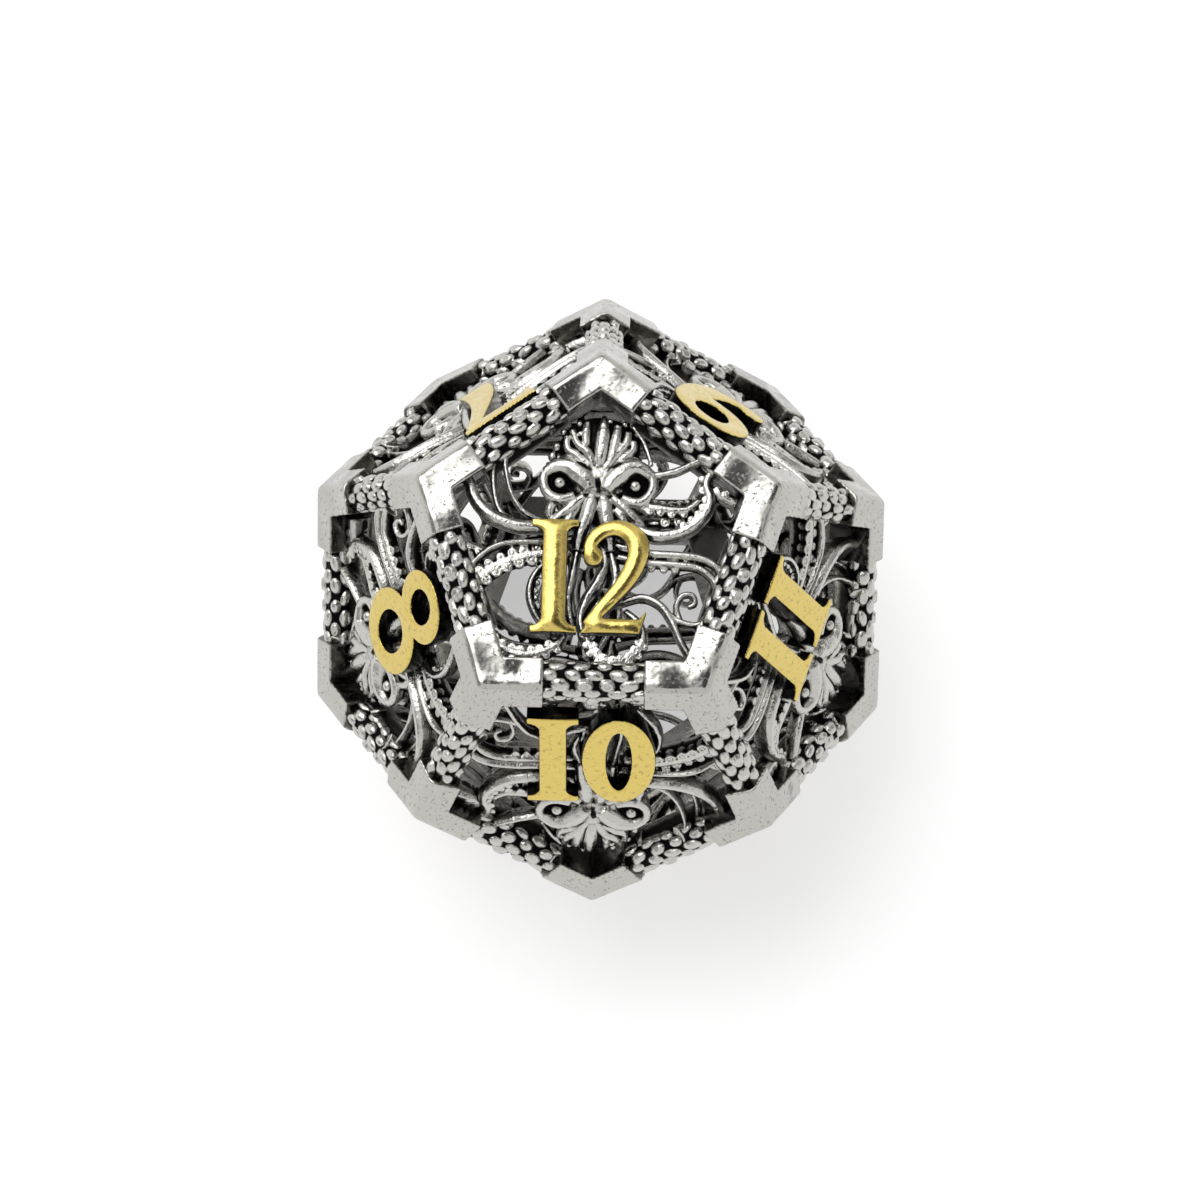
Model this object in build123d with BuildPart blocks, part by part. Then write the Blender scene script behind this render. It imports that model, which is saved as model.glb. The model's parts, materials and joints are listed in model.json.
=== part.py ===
from build123d import *
from math import atan, cos, radians, sin, sqrt, tan
import os

# A hollow openwork twelve-sided die. It rests on face 1 with face 12 upwards, its origin in the
# middle of the resting face. The Y axis runs through the corner that the top creature's crown
# points at.

# Driving dimensions, in millimetres
across_flats = 22.0  # from face 12 to face 1
band_width = 1.38  # flat band along each edge, from the sharp edge to the window
frame_depth = 2.0  # wall of the frame at the middle of a window's side
cap_arm = 2.75  # from the sharp corner, along an edge, to the square end of a cap
edge_round = 0.45
bar_recess = 0.25  # the scaled bars lie this far below the faces
bar_round = 1.2  # along their ridge
tentacle_recess = 0.6  # below the face
head_recess = 0.3
head_round = 0.35
ornament_floor = 1.95  # underside of head and tentacles, below the face
numeral_recess = 0.05
numeral_thickness = 0.85
numeral_gap = 0.2  # from the foot of a single digit to the window's side
single_height = 7.1  # height of the numerals 1 to 9
double_height = 5.7  # of 10 and 11
top_height = 5.1  # of 12

# The regular dodecahedron that the flat bands lie on
golden = (1 + sqrt(5)) / 2
in_radius = across_flats / 2
edge_length = in_radius * 2 / (golden**2.5 / 5**0.25)
face_apothem = edge_length / (2 * tan(radians(36)))
face_radius = edge_length / (2 * sin(radians(36)))
face_tilt = atan(2)  # between the normals of neighbouring faces
half_dihedral = radians(90) - face_tilt / 2
mid_radius = in_radius / cos(face_tilt / 2)
window_apothem = face_apothem - band_width
window_radius = window_apothem / cos(radians(36))
numeral_middle = numeral_gap + single_height / 2 - window_apothem  # along the face's Y
hollow_radius = sqrt((in_radius - frame_depth) ** 2 + window_apothem**2)
centre = Vector(0, 0, in_radius)

# Faces: azimuth of each upper side face, and the lower face that a half turn about X makes of it
side_azimuths = {10: -90, 11: -18, 9: 54, 7: 126, 8: 198}
lower_of = {12: 1, 10: 3, 11: 5, 9: 6, 7: 4, 8: 2}


def upper_plane(number):
    # Local +Y points at the corner under the crown, local +Z out of the face
    if number == 12:
        return Plane(centre + Vector(0, 0, in_radius), x_dir=(1, 0, 0), z_dir=(0, 0, 1))
    turn = radians(side_azimuths[number])
    normal = Vector(sin(face_tilt) * cos(turn), sin(face_tilt) * sin(turn), cos(face_tilt))
    crown = Vector(cos(face_tilt) * cos(turn), cos(face_tilt) * sin(turn), -sin(face_tilt))
    return Plane(centre + normal * in_radius, x_dir=crown.cross(normal), z_dir=normal)


def half_turn(vector):
    return Vector(vector.X, -vector.Y, -vector.Z)


face_planes = {}
for upper, lower in lower_of.items():
    plane = upper_plane(upper)
    face_planes[upper] = plane
    face_planes[lower] = Plane(
        centre + half_turn(plane.origin - centre),
        x_dir=half_turn(plane.x_dir),
        z_dir=half_turn(plane.z_dir),
    )

# Corners, in four level rings of five from the top down
rings = {"top": [], "upper": [], "lower": [], "bottom": []}
for step in range(5):
    turn = radians(90 + 72 * step)
    for ring, reach, level in (
        ("top", face_radius, in_radius),
        ("upper", face_radius * golden, in_radius / golden**3),
    ):
        corner = Vector(reach * cos(turn), reach * sin(turn), level)
        rings[ring].append(centre + corner)
        rings["bottom" if ring == "top" else "lower"].append(centre + half_turn(corner))


def joined(first, second):
    return abs((first - second).length - edge_length) < edge_length / 100


# Corner cap: a block cut to the three faces, the three square ends, the windows and the hollow
corner = rings["top"][0]
corner_faces = [12, 9, 7]
corner_neighbours = [other for ring in rings.values() for other in ring if joined(corner, other)]
cap_plane = Plane(
    corner,
    x_dir=(corner_neighbours[0] - corner).cross(corner - centre),
    z_dir=corner - centre,
)
with BuildPart(cap_plane) as cap:
    Sphere(cap_arm * 2)
    for number in corner_faces:
        split(bisect_by=face_planes[number], keep=Keep.BOTTOM)
    for other in corner_neighbours:
        along = (other - corner).normalized()
        split(bisect_by=Plane(corner + along * cap_arm, z_dir=along), keep=Keep.BOTTOM)
    for number in corner_faces:
        with BuildSketch(face_planes[number]):
            RegularPolygon(window_radius, 5, rotation=90)
        extrude(amount=-in_radius / 2, mode=Mode.SUBTRACT)
    with Locations(cap_plane.to_local_coords(centre)):
        Sphere(hollow_radius, mode=Mode.SUBTRACT)
    ridges = cap.edges().filter_by(lambda edge: edge.distance_to(corner) < edge_round / 10)
    fillet(ridges, edge_round)

# Scaled bar: the same section set back below the two faces, between the square ends of two caps
slope = Vector(sin(half_dihedral), -cos(half_dihedral))
outward = Vector(cos(half_dihedral), sin(half_dihedral))
bar_length = edge_length - 2 * cap_arm
bar_top = slope * band_width - outward * bar_recess
bar_floor = -band_width / cos(half_dihedral)
with BuildPart() as bar:
    with BuildSketch(Plane.YZ):
        Polygon(
            (0, -bar_recess / sin(half_dihedral)),
            (bar_top.X, bar_top.Y),
            (0, bar_floor),
            (-bar_top.X, bar_top.Y),
            align=None,
        )
    extrude(amount=bar_length / 2, both=True)
    with Locations((0, 0, -mid_radius)):
        Sphere(hollow_radius, mode=Mode.SUBTRACT)
    fillet(bar.edges().filter_by(Axis.X).sort_by(Axis.Z)[-1], bar_round)


# Strips of changing width, drawn about a line of points. They are the tentacles and the bent
# strokes of the numerals.
def strip(points, widths):
    middle = [Vector(*point) for point in points]
    sides = ([], [])
    for index, point in enumerate(middle):
        before = middle[max(index - 1, 0)]
        after = middle[min(index + 1, len(middle) - 1)]
        across = (after - before).normalized().rotate(Axis.Z, 90)
        reach = widths[min(index, len(widths) - 1)] / 2
        sides[0].append(point + across * reach)
        sides[1].append(point - across * reach)
    with BuildSketch(mode=Mode.PRIVATE) as drawn:
        with BuildLine():
            left = Spline(*sides[0])
            right = Spline(*sides[1])
            Line(left @ 0, right @ 0)
            Line(left @ 1, right @ 1)
        make_face()
    return drawn.sketch


# Sea creature: head outline and tentacles, in ninety-sixths of the inscribed radius, seen from
# outside with the crown upwards. A tentacle that meets the frame runs past the window's side
# and is cut off there.
mesh = in_radius / 96
head_side = [(0, 51), (9, 49), (15, 43), (17, 36), (21, 31), (22, 24), (20, 16), (11, 13), (0, 12)]
tentacles = [
    # (points, widths): those on the left, from the crown down
    ([(-24, 54), (-34, 38), (-36, 22), (-27, 10), (-12, 13)], [3, 2.5, 2.5, 2.5, 4]),
    ([(-56, 34), (-48, 18), (-36, 7), (-22, 3), (-6, 11)], [5, 5, 5, 5, 5]),
    ([(-62, -20), (-45, -14), (-33, -6), (-20, -2), (-6, 5)], [9, 9, 9, 8, 6]),
    ([(-60, -40), (-40, -38), (-30, -44), (-20, -42), (-14, -34), (-20, -22), (-17, -8)], [7, 5, 5, 5, 4]),
    ([(-22, -33), (-25, -20), (-19, -9), (-4, 4)], [4, 5, 4, 5]),
    # the leaf-like strands in the middle
    ([(-5, 16), (-7, -4), (-3, -20), (-6, -33)], [5, 5, 5, 3]),
    ([(4, 16), (6, -4), (1, -20), (-3, -33), (0, -44), (9, -48), (17, -42), (18, -34), (12, -24)], [5, 4]),
    # and those on the right
    ([(20, 26), (30, 28), (42, 36), (52, 44)], [3, 2.5, 3, 3]),
    ([(6, 9), (22, 3), (35, 6), (42, 14), (41, 22), (52, 32)], [6, 6, 5.5, 5.5, 5, 5]),
    ([(12, 14), (24, 15), (33, 12), (41, 15)], [4, 4, 3.5, 3]),
    ([(2, 6), (14, -4), (30, -5), (43, -8), (49, -17), (60, -24)], [6, 6, 6, 5.5, 5, 5]),
    ([(2, -22), (18, -21), (26, -26), (31, -34), (40, -52)], [4, 3.5, 3.5, 4, 4]),
    ([(28, -28), (35, -31), (43, -30), (56, -24)], [2.5, 3, 3, 3]),
    ([(31, -30), (31, -23), (35, -20), (38, -23)], [2.5, 2.5, 2, 1.5]),
]
with BuildPart() as head:
    with BuildSketch(Plane.XY.offset(-ornament_floor)):
        with BuildLine():
            right = [(x * mesh, y * mesh) for x, y in head_side]
            left = [(-x * mesh, y * mesh) for x, y in reversed(head_side[1:-1])]
            Spline(*right, *left, periodic=True)
        make_face()
    extrude(amount=ornament_floor - head_recess)
    fillet(head.faces().sort_by(Axis.Z)[-1].edges(), head_round)
    with BuildSketch(Plane.XY.offset(-ornament_floor)):
        RegularPolygon(window_radius, 5, rotation=90)
    extrude(amount=ornament_floor, mode=Mode.INTERSECT)

with BuildPart() as creature:
    with BuildSketch(Plane.XY.offset(-ornament_floor)):
        for points, widths in tentacles:
            add(strip([(x * mesh, y * mesh) for x, y in points], [width * mesh for width in widths]))
        RegularPolygon(window_radius, 5, rotation=90, mode=Mode.INTERSECT)
    extrude(amount=ornament_floor - tentacle_recess)
    add(head.part)


# Numerals, drawn in tenths of their height about their middles
def glyph_one():
    with BuildSketch(mode=Mode.PRIVATE) as glyph:
        Rectangle(2.1, 10)
        for side in (-1, 1):
            with BuildLine():
                foot = Polyline((-1.05, side * 3.2), (1.05, side * 3.2))
                right = ThreePointArc(foot @ 1, (1.25, side * 4.1), (2, side * 4.4))
                left = ThreePointArc(foot @ 0, (-1.25, side * 4.1), (-2, side * 4.4))
                Polyline(right @ 1, (2, side * 5), (-2, side * 5), left @ 1)
            make_face()
    return glyph.sketch


def glyph_two():
    bowl = [(-2, 1.6), (-1.7, 3.4), (0.2, 4.3), (1.9, 3.2), (1.7, 0.9), (0, -1.7), (-2.2, -4.4)]
    with BuildSketch(mode=Mode.PRIVATE) as glyph:
        add(strip(bowl, [1.1, 1.2, 1.4, 1.9, 1.7, 1.3, 1]))
        with Locations((-1.8, 1.8)):
            Circle(0.85)
        Polygon((-2.8, -5), (2.3, -5), (2.9, -2.8), (2.2, -3.7), (-2, -3.7), align=None)
    return glyph.sketch


def glyph_three():
    with BuildSketch(mode=Mode.PRIVATE) as glyph:
        add(strip([(-1.8, 3), (-0.7, 4.2), (1.1, 3.9), (1.4, 2.1), (-0.4, 0.6)], [0.9, 1.2, 1.7, 1.7, 1]))
        add(strip([(-0.5, 0.7), (1.6, 0), (1.8, -2.9), (0, -4.3), (-2, -3.2)], [1, 1.6, 1.9, 1.3, 0.9]))
        with Locations((-1.7, 2.9), (-1.9, -3)):
            Circle(0.8)
    return glyph.sketch


def glyph_four():
    with BuildSketch(mode=Mode.PRIVATE) as glyph:
        Polygon((0.7, 5), (2, 5), (2, -5), (0.3, -5), (0.3, 2.6), align=None)
        Polygon((0.7, 5), (0.9, 3.6), (-1.6, -1.4), (-3, -1.4), align=None)
        Polygon((-3, -1.4), (3, -1.4), (3, -2.7), (-3, -2.7), align=None)
        Polygon((-0.7, -5), (3, -5), (2, -4), (0.3, -4), align=None)
    return glyph.sketch


def glyph_five():
    with BuildSketch(mode=Mode.PRIVATE) as glyph:
        Polygon((-1.8, 5), (2.1, 5), (1.7, 3.5), (-1, 3.7), (-1.1, 0), (-2.1, 0), align=None)
        bowl = [(-1.9, 0.3), (-0.2, 1.2), (1.7, 0.2), (1.8, -2.8), (0, -4.3), (-2, -3.2)]
        add(strip(bowl, [0.8, 1.3, 1.8, 1.9, 1.3, 0.9]))
        with Locations((-1.8, -3)):
            Circle(0.8)
    return glyph.sketch


def glyph_seven():
    with BuildSketch(mode=Mode.PRIVATE) as glyph:
        Polygon((-2.5, 5), (2.6, 5), (2.6, 4.2), (1.6, 3.4), (-1.8, 3.6), (-2.5, 2.6), align=None)
        add(strip([(1.9, 4), (0.6, 1), (-0.3, -1.8), (-0.5, -5)], [1.1, 1.3, 1.8, 2.1]))
    return glyph.sketch


def glyph_eight():
    with BuildSketch(mode=Mode.PRIVATE) as glyph:
        with Locations((0.1, 2.6)):
            Ellipse(2.35, 2.4)
        with Locations((0, -2)):
            Ellipse(2.75, 3)
        with Locations((0.1, 2.6)):
            Ellipse(1.1, 1.3, mode=Mode.SUBTRACT)
        with Locations((0, -2.1)):
            Ellipse(1.35, 1.65, mode=Mode.SUBTRACT)
    return glyph.sketch


def glyph_nine():
    with BuildSketch(mode=Mode.PRIVATE) as glyph:
        with Locations((0, 2)):
            Ellipse(2.7, 3)
            Ellipse(1.2, 1.6, mode=Mode.SUBTRACT)
        add(strip([(2, 2), (1.8, -0.8), (0.8, -3.2), (-1.4, -4.3)], [1.4, 1.7, 1.5, 1]))
        with Locations((-1.3, -3.9)):
            Circle(0.85)
    return glyph.sketch


def glyph_nought():
    with BuildSketch(mode=Mode.PRIVATE) as glyph:
        Ellipse(2.85, 5)
        Ellipse(1, 3.5, mode=Mode.SUBTRACT)
    return glyph.sketch


one, two = glyph_one(), glyph_two()
nine = glyph_nine()
numerals = {
    # number: (height, [(glyph, its middle across the numeral, in tenths of the height)])
    1: (single_height, [(one, 0)]),
    2: (single_height, [(two, 0)]),
    3: (single_height, [(glyph_three(), 0)]),
    4: (single_height, [(glyph_four(), 0)]),
    5: (single_height, [(glyph_five(), 0)]),
    6: (single_height, [(nine.rotate(Axis.Z, 180), 0)]),
    7: (single_height, [(glyph_seven(), 0)]),
    8: (single_height, [(glyph_eight(), 0)]),
    9: (single_height, [(nine, 0)]),
    10: (double_height, [(one, -3.1), (glyph_nought(), 2)]),
    11: (double_height, [(one, -2.3), (one, 2.3)]),
    12: (top_height, [(one, -3.6), (two, 1.5)]),
}


def numeral_part(number):
    # Upright with the crown on the top and bottom faces, upside down to it on the side faces
    height, glyphs = numerals[number]
    tenth = height / 10
    turn = 0 if number in (1, 12) else 180
    with BuildPart() as numeral:
        with BuildSketch(Plane.XY.offset(-numeral_recess - numeral_thickness)):
            with Locations(Location((0, numeral_middle, 0), (0, 0, turn))):
                for glyph, middle in glyphs:
                    sized = scale(glyph, by=tenth, mode=Mode.PRIVATE)
                    add(sized.moved(Location((middle * tenth, 0, 0))))
        extrude(amount=numeral_thickness)
    return numeral.part


os.makedirs("parts", exist_ok=True)


def write(shape, name):
    shape.label = name
    export_step(shape, f"parts/{name}.step")


# Caps, one piece each
for ring, corners in rings.items():
    for index, place in enumerate(corners, 1):
        neighbour = next(other for group in rings.values() for other in group if joined(place, other))
        x_dir = (neighbour - place).cross(place - centre)
        local = cap_plane.to_local_coords(cap.part)
        write(Location(Plane(place, x_dir=x_dir, z_dir=place - centre)) * local, f"cap_{ring}_{index}")

# Scaled bars, grouped by the level that they lie on
levels = {
    "scaled_bars_top": ("top", "top"),
    "scaled_bars_upper": ("top", "upper"),
    "scaled_bars_middle": ("upper", "lower"),
    "scaled_bars_lower": ("lower", "bottom"),
    "scaled_bars_bottom": ("bottom", "bottom"),
}
for name, (first_ring, second_ring) in levels.items():
    placed = []
    for index, first in enumerate(rings[first_ring]):
        others = rings[second_ring][index + 1 :] if first_ring == second_ring else rings[second_ring]
        for second in others:
            if joined(first, second):
                middle = (first + second) / 2
                seat = Plane(middle, x_dir=second - first, z_dir=middle - centre)
                placed.append(Location(seat) * bar.part)
    write(Compound(label=name, children=placed), name)

# Creatures and numerals, face by face
for number, plane in face_planes.items():
    numeral = numeral_part(number)
    seated = creature.part - numeral
    write(Location(plane) * seated, f"creature_{number}")
    write(Location(plane) * numeral, f"numeral_{number}")
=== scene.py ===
import json
import math
import random

import bpy
import numpy as np
from mathutils import Matrix, Vector


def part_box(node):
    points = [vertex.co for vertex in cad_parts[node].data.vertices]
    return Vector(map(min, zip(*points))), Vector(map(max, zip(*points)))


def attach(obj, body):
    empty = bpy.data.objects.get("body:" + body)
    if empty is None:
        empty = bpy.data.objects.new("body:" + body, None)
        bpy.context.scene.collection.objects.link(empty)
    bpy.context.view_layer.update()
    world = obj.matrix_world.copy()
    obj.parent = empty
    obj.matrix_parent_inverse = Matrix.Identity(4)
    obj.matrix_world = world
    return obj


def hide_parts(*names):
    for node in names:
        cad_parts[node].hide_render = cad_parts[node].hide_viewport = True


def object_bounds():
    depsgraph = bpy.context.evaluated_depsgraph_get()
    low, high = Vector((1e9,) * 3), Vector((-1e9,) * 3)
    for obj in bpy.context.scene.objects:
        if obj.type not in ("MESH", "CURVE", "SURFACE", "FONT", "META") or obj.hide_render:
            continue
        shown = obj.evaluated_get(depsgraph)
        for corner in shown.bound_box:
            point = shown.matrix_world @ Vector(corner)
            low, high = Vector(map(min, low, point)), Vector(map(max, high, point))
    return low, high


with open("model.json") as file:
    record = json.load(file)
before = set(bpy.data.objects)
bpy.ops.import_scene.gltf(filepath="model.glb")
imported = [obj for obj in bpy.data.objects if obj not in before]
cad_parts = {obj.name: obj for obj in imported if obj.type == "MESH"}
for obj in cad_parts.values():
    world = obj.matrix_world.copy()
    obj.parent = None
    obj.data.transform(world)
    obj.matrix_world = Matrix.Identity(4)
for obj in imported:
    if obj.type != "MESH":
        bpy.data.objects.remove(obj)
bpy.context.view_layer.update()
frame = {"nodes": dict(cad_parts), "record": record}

# Shapes are made in millimetres and put in place in metres at the end.
mm = 0.001
lowest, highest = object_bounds()
inRadius = (highest.z - lowest.z) / 2 / mm  # centre to face
centre = Vector((0, 0, inRadius))
unit = inRadius / 96  # the creature's layout is in these
tilt = math.atan(2)  # between neighbouring faces
chance = random.Random(12)


def deselect():
    bpy.ops.object.select_all(action="DESELECT")


def only(piece):
    deselect()
    piece.select_set(True)
    bpy.context.view_layer.objects.active = piece
    return piece


def joinUp(pieces, name):
    deselect()
    for piece in pieces:
        piece.select_set(True)
    bpy.context.view_layer.objects.active = pieces[0]
    bpy.ops.object.join()
    joined = bpy.context.object
    joined.name = name
    return joined


def applyModifier(piece, kind, **settings):
    only(piece)
    modifier = piece.modifiers.new(kind.lower(), kind)
    for key, value in settings.items():
        setattr(modifier, key, value)
    bpy.ops.object.modifier_apply(modifier=modifier.name)


def trianglesOf(piece):
    return sum(len(face.vertices) - 2 for face in piece.data.polygons)


def thin(piece, triangles):
    count = trianglesOf(piece)
    if count > triangles:
        applyModifier(piece, "DECIMATE", ratio=triangles / count)


# Melts joined blobs into one cast skin, softens it and thins it to a number of triangles.
def castSkin(piece, voxel, passes, triangles):
    applyModifier(piece, "REMESH", mode="VOXEL", voxel_size=voxel)
    applyModifier(piece, "SMOOTH", factor=0.5, iterations=passes)
    thin(piece, triangles)
    only(piece)
    bpy.ops.object.shade_smooth()
    return piece


# A mesh's points, their normals, and both ends of each edge in both directions.
def meshArrays(mesh):
    places = np.empty(len(mesh.vertices) * 3)
    mesh.vertices.foreach_get("co", places)
    normals = np.empty(len(mesh.vertices) * 3, np.float32)
    mesh.vertex_normals.foreach_get("vector", normals)
    ends = np.empty(len(mesh.edges) * 2, np.int32)
    mesh.edges.foreach_get("vertices", ends)
    ends = ends.reshape(-1, 2)
    return (places.reshape(-1, 3), normals.reshape(-1, 3).astype(float),
            ends.ravel(), ends[:, ::-1].ravel())


# Each row of values becomes the mean of its neighbours', a number of times over.
def blurAlong(values, first, second, steps):
    count = len(values)
    links = np.maximum(np.bincount(first, minlength=count), 1)
    for _ in range(steps):
        values = np.stack(
            [np.bincount(first, column[second], count) / links for column in values.T], 1)
    return values


# How deep each point lies under the skin around it, from 0 on high spots to 1 in hollows, plus the
# piece's own darkening from depth(), which holds painted shade. The blackening in hollows stays where
# tumbling can't rub it off.
def markHollows(piece, steps, gains, depth):
    mesh = piece.data
    places, normals, first, second = meshArrays(mesh)
    blackeningAndShade = np.zeros(len(places))
    blurred, done = places, 0
    for step, gain in zip(steps, gains):
        blurred, done = blurAlong(blurred, first, second, step - done), step
        blackeningAndShade += gain * ((blurred - places) * normals).sum(1)
    blackeningAndShade += depth(places, normals)
    attribute = mesh.attributes.new("blackeningAndShade", "FLOAT", "POINT")
    attribute.data.foreach_set("value", np.clip(blackeningAndShade, 0, 1).astype(np.float32))


# A smooth run through (x, y, depth of its top, radius) points, as (place, radius) pairs.
def smoothRun(points, tall, perSpan=6):
    rows = [np.array(point, float) for point in points]
    rows = [2 * rows[0] - rows[1], *rows, 2 * rows[-1] - rows[-2]]
    run = []
    for index in range(1, len(rows) - 2):
        a, b, c, d = rows[index - 1:index + 3]
        for step in range(perSpan):
            t = step / perSpan
            run.append(0.5 * (2 * b + (c - a) * t + (2 * a - 5 * b + 4 * c - d) * t * t
                              + (3 * b - a - 3 * c + d) * t ** 3))
    run.append(rows[-2])
    thinnest = 0.3
    return [(Vector((x * unit, y * unit, -deep - max(radius, thinnest) * unit * tall)),
             max(radius, thinnest) * unit) for x, y, deep, radius in run]


# A round strand along a run, made taller than wide so that it reaches down into the wall.
def strand(points, tall):
    run = smoothRun(points, tall)
    bpy.ops.curve.primitive_nurbs_path_add()
    piece = bpy.context.object
    curve = piece.data
    curve.splines.clear()
    spline = curve.splines.new("POLY")
    spline.points.add(len(run) - 1)
    for point, (place, radius) in zip(spline.points, run):
        point.co = (place.x, place.y, place.z / tall, 1)
        point.radius = radius
    curve.bevel_depth = 1
    curve.bevel_resolution = 3
    curve.use_fill_caps = True
    only(piece)
    bpy.ops.object.convert(target="MESH")
    piece = bpy.context.object
    piece.data.transform(Matrix.Diagonal((1, 1, tall, 1)))
    return piece


def blob(x, y, top, wide, long, high, turn=0.0, rings=12):
    bpy.ops.mesh.primitive_uv_sphere_add(segments=2 * rings, ring_count=rings)
    piece = bpy.context.object
    piece.data.transform(
        Matrix.Translation((x * unit, y * unit, -top - high))
        @ Matrix.Rotation(math.radians(turn), 4, "Z")
        @ Matrix.Diagonal((wide * unit, long * unit, high, 1)))
    return piece


# A sucker: a ring round a small bead, on a low mound.
def sucker(place, radius):
    bpy.ops.mesh.primitive_torus_add(
        major_segments=14, minor_segments=8, major_radius=radius * 0.72, minor_radius=radius * 0.27)
    ring = bpy.context.object
    ring.data.transform(Matrix.Translation(place))
    bpy.ops.mesh.primitive_uv_sphere_add(segments=10, ring_count=8, radius=radius)
    mound = bpy.context.object
    mound.data.transform(Matrix.Translation(place - Vector((0, 0, radius * 0.75))))
    bpy.ops.mesh.primitive_uv_sphere_add(segments=8, ring_count=6, radius=radius * 0.3)
    bead = bpy.context.object
    bead.data.transform(Matrix.Translation(place + Vector((0, 0, radius * 0.1))))
    return [ring, mound, bead]


# Suckers in a row beside a strand's middle, from start to end of its run.
def suckerRow(points, tall, aside, radius, gap, start=0.0, end=1.0):
    run = smoothRun(points, tall, 12)
    places = [place for place, _ in run]
    lengths = [0.0]
    for before, after in zip(places, places[1:]):
        lengths.append(lengths[-1] + (after - before).length)
    made, along = [], start * lengths[-1]
    while along < end * lengths[-1]:
        index = min(next(i for i, value in enumerate(lengths) if value >= along), len(run) - 2)
        forward = (places[index + 1] - places[index]).normalized()
        across = Vector((-forward.y, forward.x, 0)).normalized()
        thick = run[index][1]
        share = min(abs(aside) * unit / thick, 0.95)
        place = places[index] + across * aside * unit
        place.z = places[index].z + thick * tall * math.sqrt(1 - share * share) + radius * unit * 0.25
        made += sucker(place, radius * unit * chance.uniform(0.92, 1.08))
        along += gap * unit
    return made


# The creature, seen from outside the face with the crown up.
# Strand points are (x, y, depth of the top in mm, radius).

creature = {
    "voxel": 0.042, "passes": 2, "triangles": 92000,
    "hollowSteps": (3, 14), "hollowGains": (15, 7),  # blackening in narrow and in wide hollows
    "veinWidth": 1.5, "mouthWidth": 1.35,  # times the radii in the head's layout
}

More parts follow.
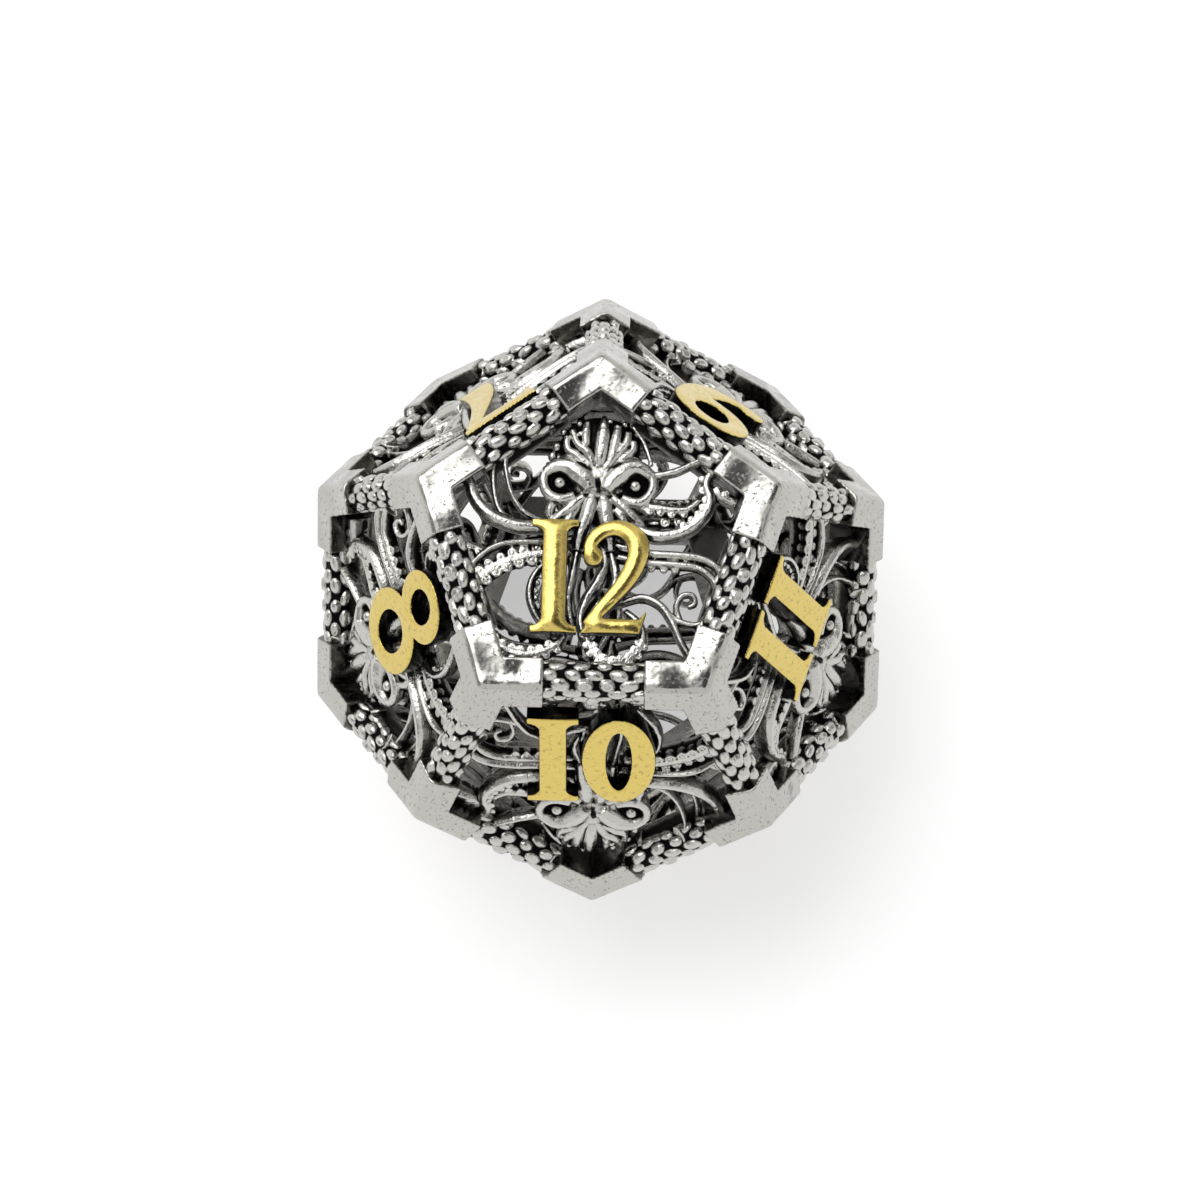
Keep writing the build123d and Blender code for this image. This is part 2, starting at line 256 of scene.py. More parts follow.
head = {
    # blobs: x, y, depth of top, half width, half length, half height
    "skull": (0, 37.4, 0.58, 15.8, 13, 0.66),
    "mass": [(0, 25, 0.46, 11, 10, 0.6), (0, 14, 0.85, 9, 7, 0.5)],
    "pods": [(-15, 22.6, 0.74, 7, 6.6, 0.55), (14.4, 22, 0.74, 7, 6.6, 0.55)],
    "eyes": [(-15, 22.7, 0.44, 2.3, 2.3, 0.26), (14, 21.9, 0.44, 2.3, 2.3, 0.26)],
    "brows": [
        [(-20.8, 26.9, 0.5, 2.2), (-16.1, 29.5, 0.38, 3.1), (-11.6, 29.2, 0.3, 4.2),
         (-7.8, 26.6, 0.26, 4.8), (-4.6, 23.4, 0.26, 4.2), (-3, 20, 0.32, 2.8)],
        [(20.4, 26, 0.5, 2.2), (15.4, 29.4, 0.38, 3.1), (11, 28.9, 0.3, 4.2),
         (7.2, 26, 0.26, 4.8), (4.2, 22.8, 0.26, 4.2), (2.4, 19.5, 0.32, 2.8)],
    ],
    "lids": [
        [(-20.8, 26.6, 0.5, 2), (-21.2, 23, 0.5, 2), (-19.9, 19.4, 0.5, 2.1),
         (-17, 17, 0.48, 2.3), (-13.2, 16.6, 0.48, 2.3), (-9.2, 18.2, 0.5, 1.8)],
        [(20.4, 25.6, 0.5, 2), (20.8, 22.2, 0.5, 2), (19.5, 18.8, 0.5, 2.1),
         (16.8, 16.1, 0.48, 2.3), (13.2, 15.7, 0.48, 2.3), (8.8, 17.4, 0.5, 1.8)],
    ],
    # veins of the crown from the brow upwards: x, y, radius, and their height follows the skull
    "veins": [
        [(-0.3, 27, 1.6), (0.5, 34, 2.1), (1.1, 41, 2.1), (1.4, 46.5, 1.4), (1.5, 50, 0.7)],
        [(2.6, 28, 1.2), (5.2, 35.5, 1.3), (6.2, 41, 1.4), (6.9, 46, 1)],
        [(-1.8, 29, 1.5), (-4.6, 34.8, 1.3), (-8.5, 38.4, 1.1), (-10.6, 44, 0.9)],
        [(-5.2, 37.5, 1), (-5.4, 42, 1.2), (-4.8, 47.4, 0.9)],
        [(-3.4, 29, 1.7), (-8.5, 33.6, 1.4), (-12.2, 36.6, 1.1), (-12.6, 41.6, 0.9)],
        [(-7.5, 31, 1.5), (-12, 32.8, 1.2), (-15.4, 32.4, 1)],
        [(2.4, 29, 1.5), (6.6, 34.6, 1.2), (10, 39, 1.2), (10.8, 43.6, 1)],
        [(4.6, 29, 1.6), (9.2, 33.2, 1.4), (12.6, 36.6, 1.1), (13, 40, 0.9)],
        [(8, 30.8, 1.4), (12.4, 32.6, 1.1), (15.8, 32.6, 1)],
    ],
    "bumps": [(-16.4, 38, 2), (-18, 34.2, 1.9), (-13.9, 43.8, 1.5), (-8, 46.8, 1.3), (-7.6, 42.2, 1.1),
              (13.9, 43, 1.7), (9.4, 47, 1.3), (8.3, 37.8, 1.1), (10.4, 31.8, 0.9), (4, 47.8, 0.9)],
    "rims": [
        [(12.5, 46, 0.82, 0.9), (16.4, 40.6, 0.84, 1), (18.4, 36, 0.82, 1), (20, 30.5, 0.66, 0.9)],
        [(-17.6, 31, 0.74, 0.9), (-20.2, 30, 0.66, 1)],
    ],
    "mouth": [
        [(-2.4, 18.4, 0.62, 1.7), (-3.2, 14.6, 0.5, 2.3), (-4.6, 9, 0.5, 2.4), (-6.6, 3, 0.6, 2.2),
         (-7.6, -3, 0.8, 1.7)],
        [(1.8, 18, 0.62, 1.7), (2.4, 14.6, 0.5, 2.4), (3, 9.6, 0.5, 2.5), (4.2, 4, 0.6, 2.4),
         (5, -3, 0.85, 1.9)],
        [(-5.6, 18, 0.6, 1.5), (-10.6, 13.6, 0.6, 1.8), (-14.6, 10.2, 0.66, 1.8), (-19, 6.5, 0.85, 1.6)],
        [(-7.2, 14.6, 0.72, 1.2), (-11, 9.4, 0.72, 1.5), (-15, 4.5, 0.9, 1.7)],
        [(5.2, 17.6, 0.6, 1.5), (9.8, 13.8, 0.6, 1.6), (13.6, 10, 0.66, 1.7), (17.5, 6.5, 0.85, 1.6)],
        [(6.6, 13.4, 0.72, 1.2), (9.4, 9.4, 0.72, 1.4), (13, 4.5, 0.9, 1.7)],
        [(-17.2, 15.8, 0.66, 1.3), (-18.6, 12, 0.74, 1.4), (-17.4, 8.4, 0.85, 1.3)],
        [(16.6, 14.6, 0.66, 1.3), (19, 12, 0.74, 1.2), (22, 12.4, 0.78, 1.1)],
    ],
}

# Where the blackening is thickest on the face: x, y, half width, half height, turn, strength
inks = [
    (-0.3, 22.2, 1.0, 2.6, 0, 1.2), (-6.9, 29.4, 2.5, 1.0, -24, 1.0), (7.4, 29.4, 2.5, 1.0, 24, 1.0),
    (-14.9, 22.9, 4.1, 3.1, -14, 1.2), (13.9, 22.1, 4.1, 3.1, 14, 1.2),
    (-15, 22.7, 1.9, 1.9, 0, -1.6), (14, 21.9, 1.9, 1.9, 0, -1.6),
    (0.3, 42, 0.32, 7, -5, 0.8),
]

# (points, how much taller than wide, rows of suckers as (aside, radius, gap, start, end))
tentacles = [
    # left of the head
    ([(-6, 9, 0.9, 2.5), (-15, 6.4, 0.72, 2.6), (-25.8, 5.6, 0.55, 2.7), (-32.8, 6.2, 0.5, 2.8),
      (-41, 9.6, 0.5, 2.8), (-46.8, 15.6, 0.55, 2.6), (-49.6, 23, 0.6, 2.3), (-52, 30, 0.8, 2.2)], 1.7, []),
    ([(-18, 46, 0.8, 1.5), (-26, 41.4, 0.72, 1.3), (-33, 38.2, 0.7, 1.25), (-36, 32, 0.68, 1.15),
      (-35.2, 25, 0.68, 1.15), (-33, 17.8, 0.7, 1.1), (-28.6, 11.8, 0.76, 1.2), (-22, 8.6, 0.9, 1.4)],
     2.6, []),
    ([(-24, 45, 1.15, 1.6), (-33, 41, 1.15, 1.4), (-39.6, 33, 1.1, 1.4), (-40.5, 23, 1.05, 1.3),
      (-38, 13, 1.05, 1.3), (-33, 9, 1.1, 1.3)], 2.0, []),
    # left arm: a smooth rim over two rows of suckers
    ([(-10, 2, 0.95, 2), (-17, 0.2, 0.8, 1.5), (-24.5, -0.4, 0.66, 1.3), (-32, -0.8, 0.62, 1.25),
      (-38.6, -2.4, 0.6, 1.25), (-44, -6, 0.62, 1.2), (-49, -11, 0.68, 1.2), (-54, -15, 0.8, 1.2)], 2.8, []),
    ([(-12, -4, 1.0, 2.8), (-22, -4.6, 0.86, 3), (-31, -6.6, 0.84, 3.3), (-38, -9.6, 0.84, 3.4),
      (-43.6, -14, 0.84, 3.4), (-48, -19.5, 0.84, 3.4), (-54, -23, 0.85, 3.4)], 1.5,
     [(2.3, 2.3, 5.2, 0.16, 1.0), (-2.3, 2.0, 4.6, 0.12, 1.0)]),
    # strand that runs down beside the numeral
    ([(-12, -4, 1.05, 1.6), (-19.5, -8.5, 0.8, 1.5), (-24, -14, 0.7, 1.6), (-25.4, -21, 0.7, 1.6),
      (-23.2, -28, 0.75, 1.6), (-18, -34.5, 0.9, 1.7), (-13.5, -40, 0.95, 2)], 2.2,
     [(2.2, 1.3, 3.6, 0.3, 0.7)]),
    # bottom left arm with suckers
    ([(-50, -31, 0.85, 2.8), (-43, -36, 0.78, 2.6), (-37, -41, 0.74, 2.5), (-29.5, -44.2, 0.74, 2.6),
      (-22, -44, 0.74, 2.7), (-15.5, -41, 0.78, 2.7), (-12.5, -36, 0.9, 2.4), (-12, -29, 1.1, 2)], 1.7,
     [(1.9, 1.75, 4.1, 0.1, 0.82), (-1.9, 1.6, 4.0, 0.14, 0.8)]),
    # leaves behind the numeral
    ([(-1, 2, 1.0, 1.6), (3, -6, 0.92, 2.1), (1, -14, 0.9, 2.7), (-3.4, -22, 0.9, 2.8),
      (-5.8, -30, 0.92, 2), (-4, -38, 0.92, 1.4)], 1.8, []),
    ([(5, -3, 0.98, 1.4), (6.4, -8, 0.9, 2.1), (7.4, -14, 0.9, 2.2), (5.4, -20, 0.95, 1.5)], 1.8, []),
    ([(-7, 0, 0.95, 1.6), (-8.8, -10, 0.95, 2), (-10.8, -22, 0.98, 1.9), (-9, -33, 1.05, 1.5)], 2, []),
    # right of the head
    ([(17, 26.5, 0.7, 1.3), (23, 26.8, 0.55, 1.6), (29.5, 28.4, 0.52, 1.7), (36, 31.6, 0.55, 1.6),
      (43, 35, 0.62, 1.5), (50, 38, 0.75, 1.5)], 2, []),
    # large right loop with suckers on its inside
    ([(4, 9, 0.95, 2.4), (12.2, 6.4, 0.7, 2.8), (22.2, 3, 0.5, 3), (32.2, 4.6, 0.5, 2.9),
      (39.6, 10.4, 0.52, 2.7), (42.6, 17, 0.55, 2.4), (41, 24, 0.6, 2.1), (44, 31, 0.75, 2)], 1.7,
     [(1.9, 1.6, 4.0, 0.5, 0.92)]),
    ([(11, 13, 0.85, 1.8), (19, 14.2, 0.66, 2.5), (27.5, 13.2, 0.62, 2.4), (34, 13.6, 0.66, 2),
      (38.6, 17.4, 0.72, 1.5)], 1.8, [(-1.7, 1.7, 4.2, 0.3, 0.95)]),
    ([(12, 9, 1.15, 1.6), (24, 8.6, 1.05, 1.8), (33, 9.2, 1.0, 1.7), (38, 12, 1.0, 1.5)], 2,
     [(0, 2.2, 5.5, 0.5, 0.85)]),
    # grooved right arm
    ([(6, 0, 0.95, 2), (19, -3.8, 0.64, 1.7), (30, -4.6, 0.54, 1.75), (39, -5.6, 0.54, 1.7),
      (45.6, -9, 0.56, 1.6), (49.6, -15.4, 0.62, 1.5), (55, -21, 0.8, 1.5)], 2.1, []),
    ([(8, -5, 1.0, 2), (19, -7.4, 0.72, 1.8), (30, -8.3, 0.62, 1.8), (38, -9.2, 0.62, 1.7),
      (43.4, -12.6, 0.66, 1.6), (46.6, -18, 0.72, 1.5), (51, -24, 0.85, 1.5)], 2.0,
     [(-1.9, 1.5, 4.2, 0.1, 0.45)]),
    # thin arm down to the right corner, with its side shoot and curl
    ([(0, -24, 1.0, 1.8), (9, -23, 0.88, 1.8), (17.5, -21.2, 0.7, 1.8), (24.6, -24.4, 0.6, 1.8),
      (29.2, -31, 0.6, 1.7), (33, -39, 0.65, 1.6), (38, -47, 0.8, 1.8)], 2.1, []),
    ([(26, -26, 0.75, 1.3), (31, -30, 0.66, 1.5), (38, -31.8, 0.64, 1.6), (45, -28.4, 0.7, 1.6),
      (52, -24, 0.85, 1.8)], 2.2, []),
    ([(32.4, -30.5, 0.74, 1.3), (30.6, -25, 0.66, 1.3), (32.6, -20.6, 0.6, 1.3), (36.6, -20.2, 0.6, 1.3),
      (37.6, -23.4, 0.66, 1.2), (35, -24.8, 0.72, 0.9)], 2.2, []),
    # bottom loop with suckers
    ([(2, -22, 1.05, 1.8), (-2.6, -30, 0.92, 1.9), (-2.8, -38, 0.74, 2.3), (1, -45, 0.7, 2.6),
      (8, -47.6, 0.7, 2.8), (14.8, -44.4, 0.7, 2.7), (18, -38, 0.74, 2.3), (16.4, -31, 0.92, 1.9),
      (11, -26, 1.1, 1.7)], 1.8,
     [(1.6, 1.6, 3.8, 0.26, 0.76), (-1.7, 1.5, 3.8, 0.24, 0.78)]),
    # short stubs that run into the scaled bars
    ([(-42, -4, 1.05, 2), (-49, -2, 0.9, 2.4), (-55, 2, 0.85, 2.8)], 1.8, [(1.2, 1.6, 4, 0.2, 0.9)]),
    ([(40, 24, 0.85, 2), (46, 20, 0.75, 2.4), (53, 17, 0.8, 2.8)], 1.8, [(1.4, 1.6, 4, 0.1, 0.9)]),
    ([(-18, 44, 1.0, 1.7), (-23, 48, 0.82, 2.1), (-30, 52, 0.85, 2.4)], 1.8, [(0.8, 1.5, 4, 0.2, 0.9)]),
    ([(19, 44, 1.0, 1.5), (24, 47, 0.85, 2), (30, 50, 0.85, 2.4)], 1.8, [(-0.8, 1.5, 4, 0.1, 0.9)]),
]


def skullTop(x, y):
    cx, cy, top, wide, long, high = head["skull"]
    inside = 1 - ((x - cx) / wide) ** 2 - ((y - cy) / long) ** 2
    return -top - high + high * np.sqrt(np.maximum(inside, 0.02))


# Darker where it is deep, steep or inked: the inked spots and the skull between the crown's veins are
# blackening, while the darkening by depth and steepness is painted shade; the inner side is painted shade as
# a dull grey.
def creatureDepth(places, normals):
    x, y = places[:, 0] / unit, places[:, 1] / unit
    dark = 0.62 * np.clip((-places[:, 2] - 0.72) / 0.45, 0, 1)
    dark += 0.8 * np.clip((0.36 - normals[:, 2]) / 0.4, 0, 1)
    crown = (np.abs(x) < 17) & (y > 31) & (y < 51)
    dark += crown * np.clip((skullTop(x, y) + 0.17 - places[:, 2]) / 0.1, 0, 1) * 0.7
    for middleX, middleY, wide, long, turn, strength in inks:
        cosine, sine = math.cos(math.radians(turn)), math.sin(math.radians(turn))
        along = ((x - middleX) * cosine + (y - middleY) * sine) / wide
        across = ((y - middleY) * cosine - (x - middleX) * sine) / long
        dark += strength * np.clip((1.25 - np.hypot(along, across)) / 0.35, 0, 1) * (places[:, 2] > -1.2)
    return np.where(normals[:, 2] < -0.25, 0.55, dark)


def makeCreature():
    made = []
    for shape in [head["skull"], *head["mass"], *head["pods"], *head["eyes"]]:
        made.append(blob(*shape))
    for points in head["brows"] + head["lids"]:
        made.append(strand(points, 1.2))
    for vein in head["veins"]:
        made.append(strand([(x, y, -skullTop(x, y) - 0.26, radius * creature["veinWidth"])
                            for x, y, radius in vein], 1.2))
    for x, y, radius in head["bumps"]:
        made.append(blob(x, y, -skullTop(x, y) - 0.22, radius, radius * 1.15, radius * unit * 1.3, 0, 8))
    for points in head["mouth"]:
        made.append(strand([(x, y, deep, radius * creature["mouthWidth"])
                            for x, y, deep, radius in points], 1.3))
    for points in head["rims"]:
        made.append(strand(points, 1.5))
    for points, tall, rows in tentacles:
        made.append(strand(points, tall))
        for row in rows:
            made += suckerRow(points, tall, *row)
    piece = joinUp(made, "creature")
    castSkin(piece, creature["voxel"], creature["passes"], creature["triangles"])
    markHollows(piece, creature["hollowSteps"], creature["hollowGains"], creatureDepth)
    print("creature", trianglesOf(piece), "triangles")
    return piece


# A scaled bar has x along the edge and z out of it.
bar = {
    "length": 4.45,
    "bed": (0.69, 0.6),  # half width and half height of its round section
    "deep": 1.1,  # from the sharp edge to the section's middle
    "floor": 2.3,
    "pitch": 1.0,
    "rowGap": 0.43,  # round the section
    "rows": 3,  # each side of the ridge
    "scale": (0.42, 0.29, 0.2),  # half length, half width, half height
    "root": 0.95,  # width of the wall below the section
    "ringed": 0.3,  # share of the scales that have a raised ring
    "voxel": 0.045, "passes": 1, "triangles": 9000,
}


# A bead of the bar at an angle round its section: the place, and the way it faces.
def onBar(angle):
    wide, high = bar["bed"]
    place = Vector((0, wide * math.sin(angle), high * math.cos(angle) - bar["deep"]))
    facing = Vector((0, math.sin(angle) / wide, math.cos(angle) / high)).normalized()
    return place, facing


def makeBar():
    wide, high = bar["bed"]
    bpy.ops.mesh.primitive_cylinder_add(vertices=40, radius=1, depth=bar["length"])
    bed = bpy.context.object
    bed.data.transform(Matrix.Translation((0, 0, -bar["deep"])) @ Matrix.Diagonal((1, wide, high, 1))
                       @ Matrix.Rotation(math.pi / 2, 4, "Y"))
    bpy.ops.mesh.primitive_cube_add(size=1)
    root = bpy.context.object
    root.data.transform(
        Matrix.Translation((0, 0, -(bar["deep"] + bar["floor"]) / 2))
        @ Matrix.Diagonal((bar["length"], bar["root"], bar["floor"] - bar["deep"], 1)))
    pieces = [bed, root]
    angles, reach = [0.0], 0.0
    for _ in range(bar["rows"]):
        before = onBar(angles[-1])[0]
        angle = angles[-1]
        while (onBar(angle)[0] - before).length < bar["rowGap"]:
            angle += 0.01
        angles.append(angle)
    for row in range(-bar["rows"], bar["rows"] + 1):
        place, facing = onBar(math.copysign(angles[abs(row)], row))
        count = 4 + row % 2
        for index in range(count):
            along = (index - (count - 1) / 2) * bar["pitch"] + chance.uniform(-0.1, 0.1)
            long, half, tall = (size * chance.uniform(0.82, 1.12) for size in bar["scale"])
            seat = Matrix.Translation((along, place.y, place.z)) @ Matrix((
                (1, 0, 0, 0), (0, facing.z, facing.y, 0), (0, -facing.y, facing.z, 0), (0, 0, 0, 1)))
            seat @= Matrix.Rotation(chance.uniform(-0.3, 0.3), 4, "Z")
            bpy.ops.mesh.primitive_uv_sphere_add(segments=14, ring_count=8)
            scale = bpy.context.object
            scale.data.transform(seat @ Matrix.Diagonal((long, half, tall, 1)))
            pieces.append(scale)
            if chance.random() < bar["ringed"]:
                bpy.ops.mesh.primitive_torus_add(
                    major_segments=16, minor_segments=8, major_radius=0.6, minor_radius=0.2)
                ring = bpy.context.object
                ring.data.transform(seat @ Matrix.Translation((0, 0, tall * 0.86))
                                    @ Matrix.Diagonal((long * 0.9, half * 0.9, 0.22, 1)))
                pieces.append(ring)
    piece = joinUp(pieces, "bar")
    castSkin(piece, bar["voxel"], bar["passes"], bar["triangles"])

    # blackening in the gaps between the scales, and painted shade as a grey on the wall below the section
    def deep(places, normals):
        y, z = places[:, 1] / wide, (places[:, 2] + bar["deep"]) / high
        lift = (np.hypot(y, z) - 1) * high
        dark = np.clip((0.085 - lift) / 0.07, 0, 1) * 0.9
        return np.where(places[:, 2] < -bar["deep"] - high * 0.7, 0.55, dark)

    markHollows(piece, (2, 8), (10, 5), deep)
    print("bar", trianglesOf(piece), "triangles")
    return piece


# Where the faces and edges are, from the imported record's resting faces

faces = {}
for mount in frame["record"]["mounts"]:
    number = int(mount["name"].split("_")[1])
    outward = Vector(mount["axis"]).normalized()
    middle = centre + outward * inRadius
    crown = (Vector(mount["pos_m"]) / mm - middle).normalized()
    right = crown.cross(outward)
    faces[number] = Matrix((
        (right.x, crown.x, outward.x, middle.x), (right.y, crown.y, outward.y, middle.y),
        (right.z, crown.z, outward.z, middle.z), (0, 0, 0, 1)))


def edgeFrames():
    midRadius = inRadius / math.cos(tilt / 2)
    found = []
    for first in faces:
        for second in faces:
            a, b = faces[first].col[2].to_3d(), faces[second].col[2].to_3d()
            if first < second and a.angle(b) < tilt + 0.1:
                up = (a + b).normalized()
                along = a.cross(b).normalized()
                across = up.cross(along)
                middle = centre + up * midRadius
                place = Matrix((
                    (along.x, across.x, up.x, middle.x), (along.y, across.y, up.y, middle.y),
                    (along.z, across.z, up.z, middle.z), (0, 0, 0, 1)))
                found.append((first, second, place))
    return found


toMetres = Matrix.Diagonal((mm, mm, mm, 1))


def placedCopy(piece, place, name):
    only(piece)
    bpy.ops.object.duplicate()
    copy = bpy.context.object
    copy.name = name
    copy.data.name = name
    copy.data.transform(toMetres @ place)
    return copy


def newMaterial(name):
    material = bpy.data.materials.new(name)
    material.use_nodes = True
    tree = material.node_tree
    return material, tree, tree.nodes["Principled BSDF"]


def grain(tree, size, detail=4.0, rough=0.55):
    texture = tree.nodes.new("ShaderNodeTexNoise")
    texture.inputs["Scale"].default_value = 1 / (size * mm)
    texture.inputs["Detail"].default_value = detail
    texture.inputs["Roughness"].default_value = rough
    coordinate = tree.nodes.new("ShaderNodeTexCoord")
    tree.links.new(coordinate.outputs["Object"], texture.inputs["Vector"])
    return texture.outputs["Fac"]


def arithmetic(tree, operation, first, second, clamp=False):
    node = tree.nodes.new("ShaderNodeMath")
    node.operation = operation
    node.use_clamp = clamp
    for socket, value in zip(node.inputs, (first, second)):
        if isinstance(value, (int, float)):
            socket.default_value = value
        else:
            tree.links.new(value, socket)
    return node.outputs[0]


def ramp(tree, value, stops):
    node = tree.nodes.new("ShaderNodeValToRGB")
    tree.links.new(value, node.inputs[0])
    while len(node.color_ramp.elements) < len(stops):
        node.color_ramp.elements.new(0.5)
    for element, (position, colour) in zip(node.color_ramp.elements, stops):
        element.position = position
        element.color = (*colour, 1) if isinstance(colour, tuple) else (colour, colour, colour, 1)
    return node.outputs[0]


def bump(tree, shader, layers):
    previous = None
    for height, distance in layers:
        node = tree.nodes.new("ShaderNodeBump")
        node.inputs["Distance"].default_value = distance * mm
        tree.links.new(height, node.inputs["Height"])
        if previous is not None:
            tree.links.new(previous, node.inputs["Normal"])
        previous = node.outputs[0]
    tree.links.new(previous, shader.inputs["Normal"])


# Reads each point's blackening and painted shade, with a little noise.
def hollowValue(tree, spread, size):
    reader = tree.nodes.new("ShaderNodeAttribute")
    reader.attribute_name = "blackeningAndShade"
    specks = arithmetic(tree, "MULTIPLY_ADD", grain(tree, size), spread)
    specks.node.inputs[2].default_value = -spread / 2
    return arithmetic(tree, "ADD", reader.outputs["Fac"], specks, True)


# Darkens a colour where specks are dark, and gives it to the shader.
def speckle(tree, shader, colour, specks, amount):
    blend = tree.nodes.new("ShaderNodeMix")
    blend.data_type = "RGBA"
    blend.blend_type = "MULTIPLY"
    blend.inputs["Factor"].default_value = amount
    tree.links.new(colour, blend.inputs["A"])
    tree.links.new(specks, blend.inputs["B"])
    tree.links.new(blend.outputs["Result"], shader.inputs["Base Color"])


def antiqueSilver():
    material, tree, shader = newMaterial("antiqueSilver")
    blackeningAndShade = hollowValue(tree, 0.3, 0.3)
    # the dark end of the ramp paints the blackening and the painted shade
    colour = ramp(tree, blackeningAndShade, [
        (0.0, (0.51, 0.5, 0.472)), (0.3, (0.4, 0.387, 0.358)), (0.44, (0.13, 0.121, 0.103)),
        (0.58, (0.03, 0.027, 0.022)), (1.0, (0.004, 0.004, 0.005))])
    tree.links.new(colour, shader.inputs["Base Color"])
    shader.inputs["Metallic"].default_value = 1
    roughness = ramp(tree, blackeningAndShade, [(0.0, 0.2), (0.4, 0.3), (0.7, 0.5), (1.0, 0.6)])
    tree.links.new(roughness, shader.inputs["Roughness"])
    bump(tree, shader, [(grain(tree, 0.5, 3), 0.06), (grain(tree, 0.12, 3), 0.022)])
    return material


def polishedSilver():
    material, tree, shader = newMaterial("polishedSilver")
    blackeningAndShade = hollowValue(tree, 0.16, 0.5)
    # the dark end of the ramp paints the blackening and the painted shade
    colour = ramp(tree, blackeningAndShade, [
        (0.0, (0.45, 0.436, 0.408)), (0.3, (0.36, 0.346, 0.318)), (0.5, (0.1, 0.093, 0.083)),
        (0.75, (0.02, 0.02, 0.02))])
    pits = ramp(tree, grain(tree, 0.16, 3, 0.7), [(0.33, 0.0), (0.4, 1.0)])
    speckle(tree, shader, colour, pits, 0.55)
    shader.inputs["Metallic"].default_value = 1
    roughness = ramp(tree, grain(tree, 1.4, 3), [(0.3, 0.12), (0.6, 0.22)])
    tree.links.new(roughness, shader.inputs["Roughness"])
    bump(tree, shader, [(grain(tree, 3.4, 1), 0.75), (grain(tree, 0.8, 2), 0.03), (pits, 0.012)])
    return material


def antiqueGold():
    material, tree, shader = newMaterial("antiqueGold")
    blackeningAndShade = hollowValue(tree, 0.14, 0.4)
    specks = ramp(tree, grain(tree, 0.22, 3, 0.7), [(0.34, 0.35), (0.44, 1.0)])
    # the dark end of the ramp paints the blackening and the painted shade
    colour = ramp(tree, blackeningAndShade, [
        (0.0, (0.62, 0.48, 0.14)), (0.3, (0.54, 0.4, 0.11)), (0.5, (0.1, 0.075, 0.03)),
        (0.7, (0.012, 0.012, 0.012))])
    speckle(tree, shader, colour, specks, 0.5)
    shader.inputs["Metallic"].default_value = 1
    roughness = ramp(tree, grain(tree, 0.8, 3), [(0.3, 0.16), (0.7, 0.28)])
    tree.links.new(roughness, shader.inputs["Roughness"])
    bump(tree, shader, [(grain(tree, 1.4, 2), 0.045), (grain(tree, 0.2, 3), 0.012)])
    return material


silver, polished, gold = antiqueSilver(), polishedSilver(), antiqueGold()


def finishPiece(piece, material, slotName, *nodes):
    piece.data.materials.clear()
    piece.data.materials.append(material)
    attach(piece, "root")
    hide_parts(*nodes)


# A CAD node's own shape, given a cast skin with soft edges
def castCopy(node, name, voxel, passes, triangles):
    source = frame["nodes"][node]
    piece = bpy.data.objects.new(name, source.data.copy())
    bpy.context.collection.objects.link(piece)
    middle = sum(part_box(node), Vector()) / 2
    piece.data.transform(Matrix.Diagonal((1 / mm, 1 / mm, 1 / mm, 1)) @ Matrix.Translation(-middle))
    only(piece)
    bpy.ops.object.mode_set(mode="EDIT")
    bpy.ops.mesh.select_all(action="SELECT")
    bpy.ops.mesh.remove_doubles(threshold=0.0005)
    bpy.ops.object.mode_set(mode="OBJECT")
    castSkin(piece, voxel, passes, triangles)
    return piece, middle


cap = {"voxel": 0.07, "passes": 3, "triangles": 9000}


def makeCaps():
    for node in sorted(frame["nodes"]):
        if not node.startswith("cap_"):
            continue
        piece, middle = castCopy(
            node, node.replace("cap", "cornerCap"), cap["voxel"], cap["passes"], cap["triangles"])
        toCentre = np.array((centre - middle / mm)[:])

        # the walls of the windows get painted shade that darkens inwards, and the inner side is dull with
        # painted shade
        def deep(places, normals):
            outward = places - toCentre
            reach = np.linalg.norm(outward, axis=1)
            outward /= reach[:, None]
            facing = (outward * normals).sum(1)
            wall = np.clip((0.62 - facing) / 0.3, 0, 1)
            sunk = np.clip((inRadius * 1.16 - reach) / 1.6, 0, 1)
            return np.where(facing < -0.4, 0.6, wall * (0.62 + 0.3 * sunk))

        markHollows(piece, (2, 10), (4, 3), deep)
        piece.data.transform(Matrix.Translation(middle) @ toMetres)
        finishPiece(piece, polished, "polished_caps", node)
    print("caps done")


numeral = {
    "voxel": 0.045, "passes": 2, "triangles": 9000,
    "crown": {12: 0.22},  # how far the strokes' sides sink below their middle, in mm
    "usualCrown": 0.04,
}


# Rounds the top of a numeral's strokes: its points sink the nearer they are to a side.
def crownTops(piece, outward, drop):
    mesh = piece.data
    places, normals, first, second = meshArrays(mesh)
    top = (normals @ outward > 0.6).astype(float)
    near = blurAlong(top[:, None], first, second, 110)[:, 0]  # 1 far from a side, 0 beyond it
    height = places @ outward
    share = np.clip((height - height.max() + 0.4) / 0.3, 0, 1)
    places -= outward * (np.clip(1 - near, 0, 1) * share * drop * 2)[:, None]
    mesh.vertices.foreach_set("co", places.ravel())
    mesh.update()


def makeNumerals():
    for number, place in faces.items():
        node = f"numeral_{number}"
        piece, middle = castCopy(
            node, f"numeral{number}", numeral["voxel"], numeral["passes"], math.inf)
        outward = np.array(place.col[2].to_3d()[:])

        # painted shade on the strokes' sides, darker the further they turn from the face's outward
        def deep(places, normals):
            return np.clip((0.5 - normals @ outward) / 0.25, 0, 1)

        crownTops(piece, outward, numeral["crown"].get(number, numeral["usualCrown"]))
        thin(piece, numeral["triangles"])
        markHollows(piece, (2,), (4,), deep)
        piece.data.transform(Matrix.Translation(middle) @ toMetres)
        finishPiece(piece, gold, "gold_numerals", node)
    print("numerals done")


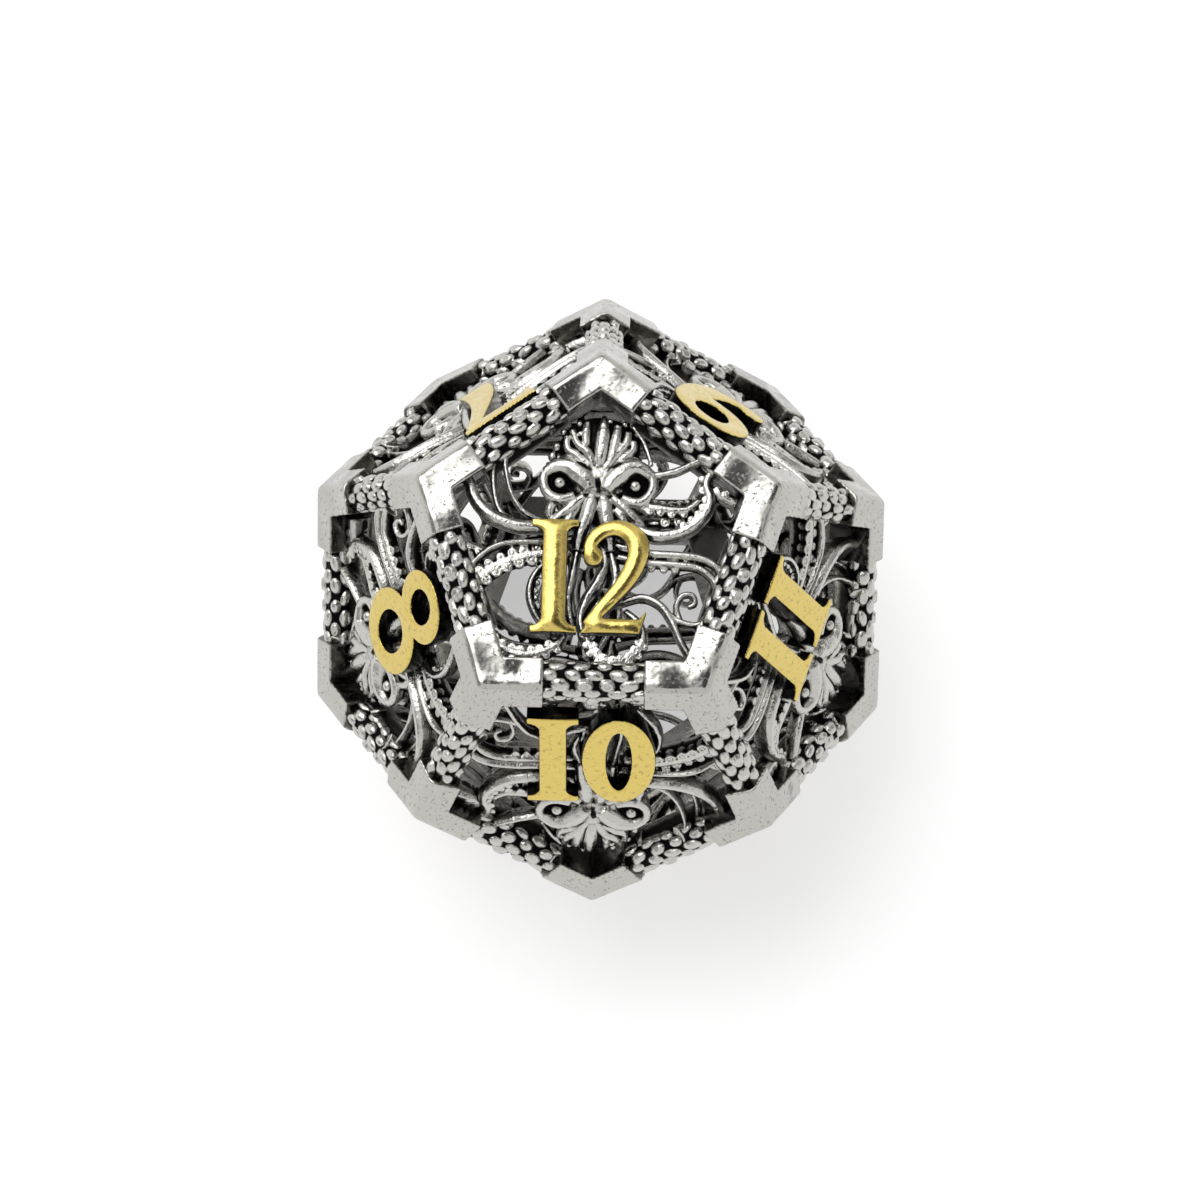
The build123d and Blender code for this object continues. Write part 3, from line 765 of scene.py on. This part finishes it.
def makeBars():
    model = makeBar()
    groups = {}
    for first, second, place in edgeFrames():
        upperPair = sum(number > 6 for number in (first, second))
        if 12 in (first, second):
            level = "top"
        elif 1 in (first, second):
            level = "bottom"
        else:
            level = ("lower", "middle", "upper")[upperPair]
        halfTurn = Matrix.Rotation(math.pi * (second % 2), 4, "Z")
        copy = placedCopy(model, place @ halfTurn, f"bar{first}to{second}")
        groups.setdefault(level, []).append(copy)
    for level, bars in groups.items():
        piece = joinUp(bars, f"scaledBars{level.title()}")
        finishPiece(piece, silver, "antique_silver", f"scaled_bars_{level}")
    bpy.data.objects.remove(model)
    print("bars done")


def makeCreatures():
    model = makeCreature()
    for number, place in faces.items():
        piece = placedCopy(model, place, f"creature{number}")
        finishPiece(piece, silver, "antique_silver", f"creature_{number}")
    bpy.data.objects.remove(model)
    print("creatures done")


# The die stands on a white light table.
table = {"size": 0.6, "colour": 0.62, "glow": 0.46}


def makeStage():
    bpy.ops.mesh.primitive_plane_add(size=table["size"])
    floor = bpy.context.object
    floor.name = "floor"
    material, tree, shader = newMaterial("paleFloor")
    shader.inputs["Base Color"].default_value = (*[table["colour"]] * 3, 1)
    shader.inputs["Roughness"].default_value = 0.9
    shader.inputs["Specular IOR Level"].default_value = 0.1
    shader.inputs["Emission Color"].default_value = (1, 1, 1, 1)
    shader.inputs["Emission Strength"].default_value = table["glow"]
    floor.data.materials.append(material)


light = {
    "sky": 1.02,
    # unlit patches as (toward, radius in degrees, softness in degrees, how dark from 0 to 1)
    "patches": [((0.26, -0.04, 0.965), 21, 5, 0.92), ((-0.75, -0.3, 0.55), 24, 10, 0.6),
                ((0.8, 0.5, 0.5), 22, 10, 0.6), ((-0.1, 0.95, 0.45), 20, 10, 0.5)],
    "glow": ((-0.35, 0.42, 0.84), 25, 14, 2.3),  # a brighter softbox
}


def makeSky():
    world = bpy.data.worlds.new("studio")
    bpy.context.scene.world = world
    world.use_nodes = True
    tree = world.node_tree
    sky = tree.nodes["Background"]
    where = tree.nodes.new("ShaderNodeTexCoord")

    def patch(direction, radius, soft, amount):
        toward = tree.nodes.new("ShaderNodeVectorMath")
        toward.operation = "DOT_PRODUCT"
        toward.inputs[1].default_value = Vector(direction).normalized()
        tree.links.new(where.outputs["Generated"], toward.inputs[0])
        step = tree.nodes.new("ShaderNodeMapRange")
        step.interpolation_type = "SMOOTHSTEP"
        tree.links.new(toward.outputs["Value"], step.inputs["Value"])
        step.inputs["From Min"].default_value = math.cos(math.radians(radius + soft / 2))
        step.inputs["From Max"].default_value = math.cos(math.radians(radius - soft / 2))
        step.inputs["To Min"].default_value = 1
        step.inputs["To Max"].default_value = 1 + amount
        return step.outputs["Result"]

    strength = light["sky"]
    for direction, radius, soft, amount in light["patches"]:
        strength = arithmetic(tree, "MULTIPLY", patch(direction, radius, soft, -amount), strength)
    strength = arithmetic(tree, "MULTIPLY", patch(*light["glow"]), strength)
    tree.links.new(strength, sky.inputs["Strength"])
    sky.inputs["Color"].default_value = (1, 1, 1, 1)


cameraSet = {
    "tilt": -0.244, "yaw": -0.0129, "roll": -0.0229,  # radians, in turn about X, Y and Z
    "slide": (-0.004, 0.0067),  # in inscribed radii
    "distance": 22.04,
    "lens": 159.6,
}


def makeCamera():
    bpy.ops.object.camera_add()
    camera = bpy.context.object
    camera.data.lens = cameraSet["lens"]
    camera.data.sensor_width = 36
    camera.data.clip_start = 0.005
    camera.data.dof.use_dof = False
    turn = (Matrix.Rotation(cameraSet["roll"], 3, "Z") @ Matrix.Rotation(cameraSet["yaw"], 3, "Y")
            @ Matrix.Rotation(cameraSet["tilt"], 3, "X")).transposed()
    slideX, slideY = cameraSet["slide"]
    place = turn @ Vector((-slideX, -slideY, cameraSet["distance"])) * inRadius + centre
    camera.matrix_world = Matrix.Translation(place * mm) @ turn.to_4x4()
    bpy.context.scene.camera = camera


makeCamera()
makeSky()
makeStage()
bpy.context.scene.view_settings.view_transform = "Standard"
makeCaps()
makeNumerals()
makeBars()
makeCreatures()
